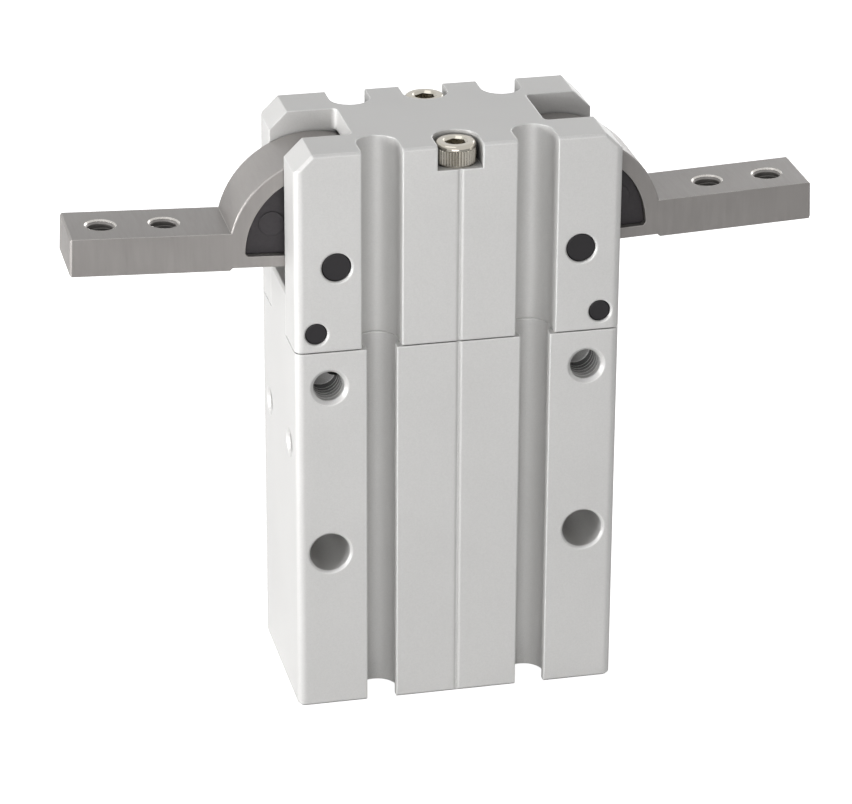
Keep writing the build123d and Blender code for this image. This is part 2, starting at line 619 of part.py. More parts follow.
def lip_groove(inner_r, outer_r, z_from, z_to):
    """The groove behind the lip of a seal, a third of the seal's width."""
    middle = (inner_r + outer_r) / 2
    half = (outer_r - inner_r) / 6
    return tube(middle + half, middle - half, z_from, z_to)


def piston_ring(index, outer_gap):
    """A ring in one of the piston's grooves."""
    z_from, z_to, floor_r = piston_grooves()[index]
    return tube(BORE_R - outer_gap, floor_r + SEAT_FIT, z_from + SEAT_FIT, z_to - SEAT_FIT)


def piston_seal():
    """The piston seal, a ring with a lip groove on its pressure side."""
    z_from, z_to, floor_r = piston_grooves()[2]
    return piston_ring(2, RUN_FIT) - lip_groove(floor_r, BORE_R, z_to - SEAL_LIP_DEPTH, z_to)


def piston_nut():
    """The thin nut under the piston."""
    z = PISTON_Z + HOLE_CHAMFER
    nut = extrude(Pos(0, 0, z) * hexagon(PISTON_NUT_AF), amount=PISTON_NUT_H)
    return nut - rod_along((0, 0, 1), (0, 0, z), PISTON_NUT_H, ROD_SPIGOT_R + SEAT_FIT)


def end_cap():
    """The cap that closes the bottom of the bore, with its O-ring groove."""
    cap = rod_along((0, 0, 1), (0, 0, CAP_Z), CAP_THICK, BORE_R - SEAT_FIT)
    cap = chamfer(cap.edges().filter_by(GeomType.CIRCLE), HOLE_CHAMFER)
    ring_z = CAP_Z + CAP_THICK / 2
    groove_half = O_RING_R + O_RING_FIT
    floor_r = BORE_R - 2 * O_RING_R - SEAT_FIT
    cap -= tube(BORE_R + OVERCUT, floor_r, ring_z - groove_half, ring_z + groove_half)
    return cap - rod_along((0, 0, 1), (0, 0, CAP_Z), CAP_THICK / 3, BORE_R / 2)


def cap_o_ring():
    """The O-ring of the end cap, squeezed in its groove, with an eight-sided section."""
    ring_z = CAP_Z + CAP_THICK / 2
    ring = tube(BORE_R - SEAT_FIT, BORE_R - 2 * O_RING_R, ring_z - O_RING_R, ring_z + O_RING_R)
    return chamfer(ring.edges().filter_by(GeomType.CIRCLE), O_RING_R / 2)


def retaining_clip():
    """The internal retaining ring under the end cap, with its two plier lugs."""
    outer_r = BORE_R + CLIP_GROOVE - SEAT_FIT
    lug_y = outer_r - CLIP_WIDTH - CLIP_LUG_SINK
    ring = Circle(outer_r) - Circle(outer_r - CLIP_WIDTH)
    lug = Pos(CLIP_LUG_X, -lug_y) * Circle(CLIP_LUG_R)
    hole = Pos(CLIP_LUG_X, -lug_y) * Circle(CLIP_LUG_R / 2)
    gap = Pos(0, -outer_r) * Rectangle(2 * (CLIP_LUG_X - CLIP_LUG_R) + CLIP_GAP, 4 * CLIP_WIDTH)
    face = ((ring + on_both_sides(lug)) & Circle(outer_r)) - gap - on_both_sides(hole)
    return extrude(Pos(0, 0, CLIP_Z) * face, amount=CLIP_THICK - SEAT_FIT)


def bumper(z_from):
    """A ring that stops the piston at one end of its stroke."""
    return tube(BORE_R - BUMPER_INSET, ROD_R + BUMPER_INSET, z_from, z_from + BUMPER_THICK)


def rod_seal():
    """The rod seal, a ring with a lip groove that faces the cylinder."""
    inner = ROD_R + RUN_FIT
    ring = tube(GUIDE_R - SEAT_FIT, inner, GUIDE_Z, GUIDE_Z + ROD_SEAL_H)
    return ring - lip_groove(inner, GUIDE_R, GUIDE_Z, GUIDE_Z + SEAL_LIP_DEPTH)


def rod_bush():
    """The long bush that guides the rod, flush with the top of the body."""
    bush = tube(GUIDE_R - SEAT_FIT, ROD_R + RUN_FIT, GUIDE_Z + ROD_SEAL_H, SEAM_Z)
    return chamfer(bush.edges().filter_by(GeomType.CIRCLE).group_by(Axis.Z)[-1], PIN_CHAMFER)


def passage_plugs():
    """The plugs that close the two upright passages under the housing."""
    plug = pin_along((0, 0, -1), (PASSAGE_X, 0, SEAM_Z), 2 * PLUG_R, PLUG_R, PIN_CHAMFER)
    return [plug, mirror(plug, about=Plane.YZ)]


def drive_pin():
    """The right drive pin, flush with the crosshead's cheeks."""
    length = 2 * CHEEK_HALF
    return pin_along((0, 1, 0), (DRIVE_X, -CHEEK_HALF, DRIVE_Z), length, DRIVE_PIN_R, PIN_CHAMFER)


def drive_roller():
    """The right roller, which runs in the cam slot."""
    ring = Pos(DRIVE_X, DRIVE_Z) * (Circle(ROLLER_R) - Circle(DRIVE_PIN_R + RUN_FIT))
    half = CHEEK_INNER - PIN_CHAMFER
    return slab(ring, -half, half)


def pieces():
    """Every node of the gripper, by name."""
    pivot = dowel(PIVOT_X, PIVOT_Z, PIVOT_PIN_R)
    lock = dowel(LOCK_PIN_X, LOCK_PIN_Z, LOCK_PIN_R)
    arm, bush = finger(), finger_bush()
    front, rear = finger_insert(-1), finger_insert(1)
    pin, roller = drive_pin(), drive_roller()
    return {
        "body": body(),
        "finger_housing": head(),
        "housing_screws": Compound(children=head_screws()),
        "left_pivot_pin": mirror(pivot, about=Plane.YZ),
        "right_pivot_pin": pivot,
        "lock_pins": Compound(children=[lock, mirror(lock, about=Plane.YZ)]),
        "end_cap": end_cap(),
        "cap_o_ring": cap_o_ring(),
        "retaining_clip": retaining_clip(),
        "lower_bumper": bumper(CAP_TOP_Z),
        "upper_bumper": bumper(PISTON_TOP_Z),
        "rod_seal": rod_seal(),
        "rod_bush": rod_bush(),
        "passage_plugs": Compound(children=passage_plugs()),
        "piston": piston(),
        "piston_wear_ring": piston_ring(0, RUN_FIT),
        "piston_magnet": piston_ring(1, MAGNET_FIT),
        "piston_seal": piston_seal(),
        "piston_nut": piston_nut(),
        "piston_rod": piston_rod(),
        "crosshead": crosshead(),
        "crosshead_screw": crosshead_screw(),
        "left_drive_pin": mirror(pin, about=Plane.YZ),
        "right_drive_pin": pin,
        "left_drive_roller": mirror(roller, about=Plane.YZ),
        "right_drive_roller": roller,
        "left_finger": as_left(arm),
        "left_finger_bush": as_left(bush),
        "left_front_insert": as_left(front),
        "left_rear_insert": as_left(rear),
        "right_finger": as_right(arm),
        "right_finger_bush": as_right(bush),
        "right_front_insert": as_right(front),
        "right_rear_insert": as_right(rear),
    }


if __name__ == "__main__":
    os.makedirs("parts", exist_ok=True)
    for name, shape in pieces().items():
        export_step(shape, f"parts/{name}.step")
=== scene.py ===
"""Looks of a pneumatic gripper with two swinging fingers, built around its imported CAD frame."""

from __future__ import annotations

import json
import logging
import math
from collections.abc import Iterable, Sequence
from dataclasses import dataclass
from enum import Enum

import bmesh
import bpy
from mathutils import Matrix, Vector

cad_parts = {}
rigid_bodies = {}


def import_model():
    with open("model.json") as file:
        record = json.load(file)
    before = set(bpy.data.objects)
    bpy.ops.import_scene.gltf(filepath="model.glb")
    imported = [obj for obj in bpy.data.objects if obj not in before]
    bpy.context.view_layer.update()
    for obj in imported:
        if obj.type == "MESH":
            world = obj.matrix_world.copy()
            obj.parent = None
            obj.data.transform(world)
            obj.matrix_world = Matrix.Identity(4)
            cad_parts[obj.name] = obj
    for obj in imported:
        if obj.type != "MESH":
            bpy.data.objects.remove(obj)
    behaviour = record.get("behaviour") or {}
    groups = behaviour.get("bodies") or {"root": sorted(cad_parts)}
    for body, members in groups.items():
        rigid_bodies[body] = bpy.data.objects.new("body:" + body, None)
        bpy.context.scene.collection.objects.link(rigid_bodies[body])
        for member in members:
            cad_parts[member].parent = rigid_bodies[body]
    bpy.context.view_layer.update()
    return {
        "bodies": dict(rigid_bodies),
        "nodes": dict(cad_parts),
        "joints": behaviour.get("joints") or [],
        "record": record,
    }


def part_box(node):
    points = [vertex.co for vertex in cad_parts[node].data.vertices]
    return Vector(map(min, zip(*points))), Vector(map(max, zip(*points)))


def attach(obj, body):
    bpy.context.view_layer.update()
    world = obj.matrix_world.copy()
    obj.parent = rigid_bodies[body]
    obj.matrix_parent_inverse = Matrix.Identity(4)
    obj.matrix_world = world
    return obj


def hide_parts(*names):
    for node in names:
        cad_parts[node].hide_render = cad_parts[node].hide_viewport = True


LOG = logging.getLogger("gripper")
MM = 0.001

FLOAT = "NodeSocketFloat"
INTEGER = "NodeSocketInt"
VECTOR = "NodeSocketVector"
MATERIAL = "NodeSocketMaterial"
OBJECT = "NodeSocketObject"
GEOMETRY = "NodeSocketGeometry"

BEVEL_SAMPLES = 6
RECESS_SAMPLES = 8
NOISE_LOW = 0.3
NOISE_HIGH = 0.7

Colour = tuple[float, float, float]
Point = tuple[float, float, float]
Face = tuple[int, ...]

WHITE: Colour = (1.0, 1.0, 1.0)


class Side(Enum):
    """The two halves of the gripper, with the sign of their X."""

    LEFT = -1
    RIGHT = 1

    @property
    def label(self) -> str:
        """The side's name as the CAD nodes spell it."""
        return self.name.lower()


class Grain(Enum):
    """How a surface was worked, as factors on its fine texture's X, Y and Z coordinates."""

    BLASTED = (1.0, 1.0, 1.0)
    TURNED = (1.0, 1.0, 14.0)
    GROUND_ACROSS = (1.0, 0.1, 0.1)


def rgba(colour: Colour) -> tuple[float, float, float, float]:
    """A colour with full alpha."""
    return (*colour, 1.0)


class Graph:
    """A short way to write a shader or geometry node tree."""

    def __init__(self, tree: bpy.types.NodeTree) -> None:
        """Starts on an empty tree.

        Args:
            tree: the tree that the nodes go into.
        """
        self.tree = tree
        tree.nodes.clear()

    @classmethod
    def group(
        cls,
        name: str,
        kind: str,
        inputs: Iterable[tuple[str, str, object]],
        outputs: Iterable[tuple[str, str]],
    ) -> Graph:
        """Makes an empty node group with named inputs and outputs.

        Args:
            name: the group's name.
            kind: the type name of its tree.
            inputs: name, socket type and default of each input, None where it has no default.
            outputs: name and socket type of each output.

        Returns:
            The graph to build in.
        """
        tree = bpy.data.node_groups.new(name, kind)
        for label, socket_type, default in inputs:
            socket = tree.interface.new_socket(label, in_out="INPUT", socket_type=socket_type)
            if default is not None:
                socket.default_value = default
        for label, socket_type in outputs:
            tree.interface.new_socket(label, in_out="OUTPUT", socket_type=socket_type)
        return cls(tree)

    def add(self, kind: str, settings: dict | None = None, **inputs: object) -> bpy.types.Node:
        """Adds one node.

        Args:
            kind: the node's type name.
            settings: values of the node's own properties.
            **inputs: a value or an output socket for each input, by name with _ for a space,
                or by number after the letter i.

        Returns:
            The new node.
        """
        node = self.tree.nodes.new(kind)
        for name, value in (settings or {}).items():
            setattr(node, name, value)
        for name, value in inputs.items():
            by_number = name[0] == "i" and name[1:].isdigit()
            socket = node.inputs[int(name[1:]) if by_number else name.replace("_", " ")]
            if isinstance(value, bpy.types.NodeSocket):
                self.tree.links.new(value, socket)
            else:
                socket.default_value = value
        return node

    def math(self, operation: str, *values: object, clamp: bool = False) -> bpy.types.NodeSocket:
        """A Math node's result.

        Args:
            operation: the name of the operation.
            *values: its operands, numbers or sockets.
            clamp: keeps the result between 0 and 1.

        Returns:
            The output socket.
        """
        settings = {"operation": operation, "use_clamp": clamp}
        inputs = {f"i{number}": value for number, value in enumerate(values)}
        return self.add("ShaderNodeMath", settings, **inputs).outputs[0]

    def vector_math(self, operation: str, *values: object) -> bpy.types.Node:
        """A Vector Math node.

        Args:
            operation: the name of the operation.
            *values: its operands, vectors or sockets.

        Returns:
            The node, whose result is its first output, or Value for a number.
        """
        inputs = {f"i{number}": value for number, value in enumerate(values)}
        return self.add("ShaderNodeVectorMath", {"operation": operation}, **inputs)

    def swing(
        self, noise: bpy.types.NodeSocket, middle: float, span: float
    ) -> bpy.types.NodeSocket:
        """A value that follows a noise texture evenly to both sides of a middle.

        Args:
            noise: the texture's output socket.
            middle: the value at the noise's own middle.
            span: how far the value swings to each side.

        Returns:
            The output socket.
        """
        return self.add(
            "ShaderNodeMapRange",
            None,
            Value=noise,
            From_Min=NOISE_LOW,
            From_Max=NOISE_HIGH,
            To_Min=middle - span,
            To_Max=middle + span,
        ).outputs[0]


class Texture:
    """The shader node groups that the finishes share, each made at its first call."""

    @staticmethod
    def edge_wear() -> bpy.types.NodeTree:
        """Edge wear and a painted highlight along a piece's edges, as a mask, and a softened
        normal.

        Returns:
            The group.
        """
        name = "edge_wear"
        if name in bpy.data.node_groups:
            return bpy.data.node_groups[name]
        graph = Graph.group(
            name,
            "ShaderNodeTree",
            [
                ("Radius", FLOAT, 0.0002),
                ("Gain", FLOAT, 6.0),
                ("Patch Scale", FLOAT, 900.0),
                ("Patchiness", FLOAT, 0.4),
            ],
            [("Mask", FLOAT), ("Normal", VECTOR)],
        )
        into = graph.add("NodeGroupInput").outputs
        settings = {"samples": BEVEL_SAMPLES}
        soft = graph.add("ShaderNodeBevel", settings, Radius=into["Radius"]).outputs[0]
        true = graph.add("ShaderNodeNewGeometry").outputs["Normal"]
        likeness = graph.vector_math("DOT_PRODUCT", soft, true).outputs["Value"]
        bend = graph.math("SUBTRACT", 1.0, likeness)
        wear_and_highlight = graph.math("MULTIPLY", bend, into["Gain"], clamp=True)
        coords = graph.add("ShaderNodeTexCoord").outputs["Object"]
        noise = graph.add(
            "ShaderNodeTexNoise", None, Vector=coords, Scale=into["Patch Scale"], Detail=2.0
        )
        patches = graph.math("MULTIPLY", noise.outputs["Fac"], into["Patchiness"])
        kept = graph.math("SUBTRACT", 1.0, patches)
        mask = graph.math("MULTIPLY", wear_and_highlight, kept)
        graph.add("NodeGroupOutput", None, Mask=mask, Normal=soft)
        return graph.tree

    @staticmethod
    def fine_grain() -> bpy.types.NodeTree:
        """Fine grain over slow blotches, stretched along the way the surface was worked.

        Returns:
            The group.
        """
        name = "fine_grain"
        if name in bpy.data.node_groups:
            return bpy.data.node_groups[name]
        graph = Graph.group(
            name,
            "ShaderNodeTree",
            [
                ("Stretch", VECTOR, (1.0, 1.0, 1.0)),
                ("Scale", FLOAT, 4000.0),
                ("Blotch Scale", FLOAT, 60.0),
            ],
            [("Height", FLOAT), ("Blotch", FLOAT)],
        )
        into = graph.add("NodeGroupInput").outputs
        coords = graph.add("ShaderNodeTexCoord").outputs["Object"]
        stretched = graph.vector_math("MULTIPLY", coords, into["Stretch"]).outputs[0]
        fine = graph.add(
            "ShaderNodeTexNoise",
            None,
            Vector=stretched,
            Scale=into["Scale"],
            Detail=3.0,
            Roughness=0.6,
        )
        blotch = graph.add(
            "ShaderNodeTexNoise", None, Vector=coords, Scale=into["Blotch Scale"], Detail=2.0
        )
        graph.add(
            "NodeGroupOutput", None, Height=fine.outputs["Fac"], Blotch=blotch.outputs["Fac"]
        )
        return graph.tree

    @staticmethod
    def recess() -> bpy.types.NodeTree:
        """Painted shade in bores, grooves and joints from ambient occlusion, as a mask from 0
        outside to 1 deep inside.

        Returns:
            The group.
        """
        name = "recess"
        if name in bpy.data.node_groups:
            return bpy.data.node_groups[name]
        graph = Graph.group(
            name,
            "ShaderNodeTree",
            [("Reach", FLOAT, 0.005), ("Open", FLOAT, 0.5), ("Gain", FLOAT, 1.0)],
            [("Mask", FLOAT)],
        )
        into = graph.add("NodeGroupInput").outputs
        settings = {"samples": RECESS_SAMPLES}
        around = graph.add("ShaderNodeAmbientOcclusion", settings, Distance=into["Reach"])
        openness = graph.math("DIVIDE", around.outputs["AO"], into["Open"])
        inside = graph.math("SUBTRACT", 1.0, openness)
        mask = graph.math("MULTIPLY", inside, into["Gain"], clamp=True)
        graph.add("NodeGroupOutput", None, Mask=mask)
        return graph.tree


@dataclass(frozen=True)
class Finish:
    """One surface finish of the gripper, as the numbers of its procedural material.

    Radii, depths and the reach of the painted shade in recesses are in millimetres. Scales are per
    metre.
    """

    name: str
    slot: str
    colour: Colour
    # The worn colour is edge wear and a painted highlight along the edges.
    worn: Colour
    metallic: float = 0.0
    roughness: float = 0.5
    roughness_span: float = 0.08
    specular: float = 0.5
    blotch: float = 0.06
    blotch_scale: float = 60.0
    grain: Grain = Grain.BLASTED
    grain_scale: float = 4000.0
    grain_depth: float = 0.004
    grain_shade: float = 0.0
    edge_radius: float = 0.15
    edge_gain: float = 5.0
    patchiness: float = 0.4
    # The next four fields paint shade into the colour of bores, grooves and joints.
    recess_dark: float = 0.0
    recess_reach: float = 5.0
    recess_open: float = 0.6
    recess_loss: float = 0.92

    def material(self) -> bpy.types.Material:
        """Builds the material, or finds it if it is there.

        Returns:
            The material.
        """
        if self.name in bpy.data.materials:
            return bpy.data.materials[self.name]
        made = bpy.data.materials.new(self.name)
        made.use_nodes = True
        graph = Graph(made.node_tree)
        grain = graph.add(
            "ShaderNodeGroup",
            {"node_tree": Texture.fine_grain()},
            Stretch=self.grain.value,
            Scale=self.grain_scale,
            Blotch_Scale=self.blotch_scale,
        ).outputs
        edge = graph.add(
            "ShaderNodeGroup",
            {"node_tree": Texture.edge_wear()},
            Radius=self.edge_radius * MM,
            Gain=self.edge_gain,
            Patchiness=self.patchiness,
        ).outputs
        tinted = graph.vector_math("SCALE", self.colour)
        graph.tree.links.new(self._level(graph, grain), tinted.inputs["Scale"])
        # Along the edges the colour goes to the worn colour: edge wear and a painted edge
        # highlight.
        colour = graph.add(
            "ShaderNodeMix",
            {"data_type": "RGBA"},
            i0=edge["Mask"],
            i6=tinted.outputs[0],
            i7=rgba(self.worn),
        )
        bump = graph.add(
            "ShaderNodeBump",
            None,
            Strength=1.0,
            Distance=self.grain_depth * MM,
            Height=grain["Height"],
            Normal=edge["Normal"],
        )
        shader = graph.add(
            "ShaderNodeBsdfPrincipled",
            None,
            Base_Color=colour.outputs[2],
            Roughness=graph.swing(grain["Height"], self.roughness, self.roughness_span),
            Metallic=self.metallic,
            Normal=bump.outputs[0],
            Specular_IOR_Level=self.specular,
        )
        graph.add("ShaderNodeOutputMaterial", None, Surface=shader.outputs[0])
        return made

    def _level(self, graph: Graph, grain: bpy.types.bpy_prop_collection) -> bpy.types.NodeSocket:
        """How light the colour is at each place, from blotches, specks and the painted shade in
        recesses.

        Args:
            graph: the material's graph.
            grain: the outputs of its fine_grain group.

        Returns:
            The output socket.
        """
        blotches = graph.swing(grain["Blotch"], 1.0, self.blotch)
        specks = graph.swing(grain["Height"], 1.0, self.grain_shade)
        level = graph.math("MULTIPLY", blotches, specks)
        if not self.recess_dark:
            return level
        # Painted shade: the colour darkens where ambient occlusion finds surfaces close by, as in
        # bores, grooves and joints.
        recess = graph.add(
            "ShaderNodeGroup",
            {"node_tree": Texture.recess()},
            Reach=self.recess_reach * MM,
            Open=self.recess_open,
            Gain=self.recess_dark,
        )
        kept = graph.math("MULTIPLY_ADD", recess.outputs["Mask"], -self.recess_loss, 1.0)
        return graph.math("MULTIPLY", level, kept)

    def dress(self, piece: bpy.types.Object) -> None:
        """Gives a piece this finish.

        Args:
            piece: a CAD node or a new piece.
        """
        for slot in piece.material_slots:
            slot.material = self.material()
        if not piece.material_slots:
            piece.data.materials.append(self.material())


ANODISED = Finish(
    "satin_anodised_aluminium",
    "anodised_aluminium",
    colour=(0.62, 0.615, 0.605),
    worn=(0.88, 0.88, 0.87),
    metallic=0.3,
    roughness=0.45,
    specular=0.4,
    blotch=0.02,
    grain_scale=5200.0,
    grain_depth=0.003,
    grain_shade=0.04,
    edge_radius=0.32,
    edge_gain=4.5,
    patchiness=0.2,
    recess_dark=1.3,
    recess_reach=5.5,
    recess_open=0.21,
)
TURNED_ALUMINIUM = Finish(
    "turned_aluminium",
    "plain_aluminium",
    colour=(0.66, 0.66, 0.67),
    worn=(0.85, 0.85, 0.85),
    metallic=0.9,
    roughness=0.32,
    grain=Grain.TURNED,
    grain_scale=1500.0,
)
TOOL_STEEL = Finish(
    "satin_tool_steel",
    "tool_steel",
    colour=(0.285, 0.27, 0.26),
    worn=(0.62, 0.60, 0.57),
    metallic=0.45,
    roughness=0.40,
    blotch=0.09,
    grain=Grain.GROUND_ACROSS,
    grain_scale=2600.0,
    grain_depth=0.002,
    grain_shade=0.03,
    edge_radius=0.16,
    edge_gain=4.0,
    recess_dark=0.9,
    recess_reach=3.5,
)
BLACK_STEEL = Finish(
    "black_oxide_steel",
    "black_steel",
    colour=(0.030, 0.028, 0.030),
    worn=(0.22, 0.22, 0.22),
    metallic=0.6,
    roughness=0.42,
    grain=Grain.TURNED,
    grain_scale=2400.0,
    grain_depth=0.003,
    edge_radius=0.1,
    edge_gain=1.6,
)
NICKEL = Finish(
    "nickel_plate",
    "plated_screw",
    colour=(0.50, 0.47, 0.41),
    worn=(0.95, 0.93, 0.88),
    metallic=1.0,
    roughness=0.14,
    blotch=0.04,
    grain=Grain.TURNED,
    grain_scale=1800.0,
    grain_depth=0.002,
    edge_radius=0.08,
    edge_gain=2.5,
    recess_dark=0.9,
    recess_reach=1.2,
    recess_open=0.7,
)
CHROME = Finish(
    "ground_chrome",
    "rod_chrome",
    colour=(0.72, 0.72, 0.74),
    worn=(0.9, 0.9, 0.9),
    metallic=1.0,
    roughness=0.14,
    grain=Grain.TURNED,
    grain_scale=2600.0,
    grain_depth=0.001,
    edge_radius=0.08,
    edge_gain=1.5,
)
BRONZE = Finish(
    "sintered_bronze",
    "bronze",
    colour=(0.42, 0.27, 0.11),
    worn=(0.7, 0.5, 0.28),
    metallic=0.9,
    roughness=0.45,
    grain_scale=3200.0,
    grain_depth=0.01,
    grain_shade=0.12,
)
BLACK_RESIN = Finish(
    "moulded_black_resin",
    "black_resin",
    colour=(0.026, 0.022, 0.025),
    worn=(0.06, 0.055, 0.06),
    roughness=0.6,
    grain_scale=2600.0,
    grain_depth=0.008,
    edge_radius=0.12,
    edge_gain=1.2,
)
# Cut metal, lighter than the finger's steel: partly a painted highlight for the hole mouths.
BRIGHT_CUT_AND_HIGHLIGHT = Finish(
    "freshly_cut_metal",
    "tool_steel",
    colour=(0.58, 0.56, 0.53),
    worn=(0.9, 0.89, 0.86),
    metallic=0.95,
    roughness=0.26,
    blotch=0.05,
    grain_scale=3200.0,
    grain_depth=0.002,
    edge_radius=0.04,
    edge_gain=1.0,
)
PALE_RESIN = Finish(
    "moulded_pale_resin",
    "pale_resin",
    colour=(0.66, 0.60, 0.46),
    worn=(0.8, 0.76, 0.66),
    grain_scale=2200.0,
    grain_depth=0.005,
)
MAGNET = Finish(
    "bonded_magnet",
    "magnet",
    colour=(0.06, 0.06, 0.065),
    worn=(0.16, 0.16, 0.17),
    metallic=0.3,
    roughness=0.6,
    grain_scale=2600.0,
    grain_depth=0.01,
    grain_shade=0.2,
)
RUBBER = Finish(
    "black_seal_rubber",
    "seal_rubber",
    colour=(0.018, 0.018, 0.018),
    worn=(0.05, 0.05, 0.05),
    roughness=0.6,
    grain_scale=1800.0,
    grain_depth=0.006,
)


def dress_nodes(frame: dict, finishes: dict[str, Finish]) -> None:
    """Gives CAD nodes their finishes.

    Args:
        frame: the loaded frame.
        finishes: the finish of each node, by name.
    """
    for name, finish in finishes.items():
        finish.dress(frame["nodes"][name])
        LOG.info("%s: %s", name, finish.name)


class Modeller:
    """Small mesh jobs that several pieces need."""

    @staticmethod
    def mesh_object(
        name: str, verts: Sequence[Point], faces: Sequence[Sequence[int]]
    ) -> bpy.types.Object:
        """A new object at the origin from points in millimetres.

        Args:
            name: the piece's name.
            verts: its points in millimetres.
            faces: its faces as rows of point numbers.

        Returns:
            The object, linked to the scene.
        """
        mesh = bpy.data.meshes.new(name)
        mesh.from_pydata([Vector(point) * MM for point in verts], [], faces)
        mesh.update()
        piece = bpy.data.objects.new(name, mesh)
        bpy.context.scene.collection.objects.link(piece)
        return piece

    @staticmethod
    def band(first: int, second: int, steps: int) -> list[Face]:
        """The faces between two rings of points.

        Args:
            first: the number of the first ring's first point.
            second: the number of the second ring's first point.
            steps: how many points a ring has.

        Returns:
            The faces, one for each step.
        """
        pairs = [(step, (step + 1) % steps) for step in range(steps)]
        return [(first + now, first + after, second + after, second + now) for now, after in pairs]

    @staticmethod
    def turns(steps: int) -> list[float]:
        """The angles of a ring's points, in radians."""
        return [2 * math.pi * step / steps for step in range(steps)]

    @staticmethod
    def settle(piece: bpy.types.Object) -> None:
        """Turns a piece's modifiers into its mesh, with clean outward normals.

        Args:
            piece: the object.
        """
        evaluated = piece.evaluated_get(bpy.context.evaluated_depsgraph_get())
        mesh = bpy.data.meshes.new_from_object(evaluated)
        mesh.name = piece.name
        piece.modifiers.clear()
        piece.data = mesh
        work = bmesh.new()
        work.from_mesh(mesh)
        bmesh.ops.recalc_face_normals(work, faces=work.faces)
        work.to_mesh(mesh)
        work.free()

    @staticmethod
    def set_inputs(modifier: bpy.types.Modifier, values: dict[str, object]) -> None:
        """Sets a Geometry Nodes modifier's inputs by their names.

        Args:
            modifier: the modifier.
            values: the value of each named input.
        """
        for item in modifier.node_group.interface.items_tree:
            is_input = item.item_type == "SOCKET" and item.in_out == "INPUT"
            if is_input and item.name in values:
                modifier[item.identifier] = values[item.name]


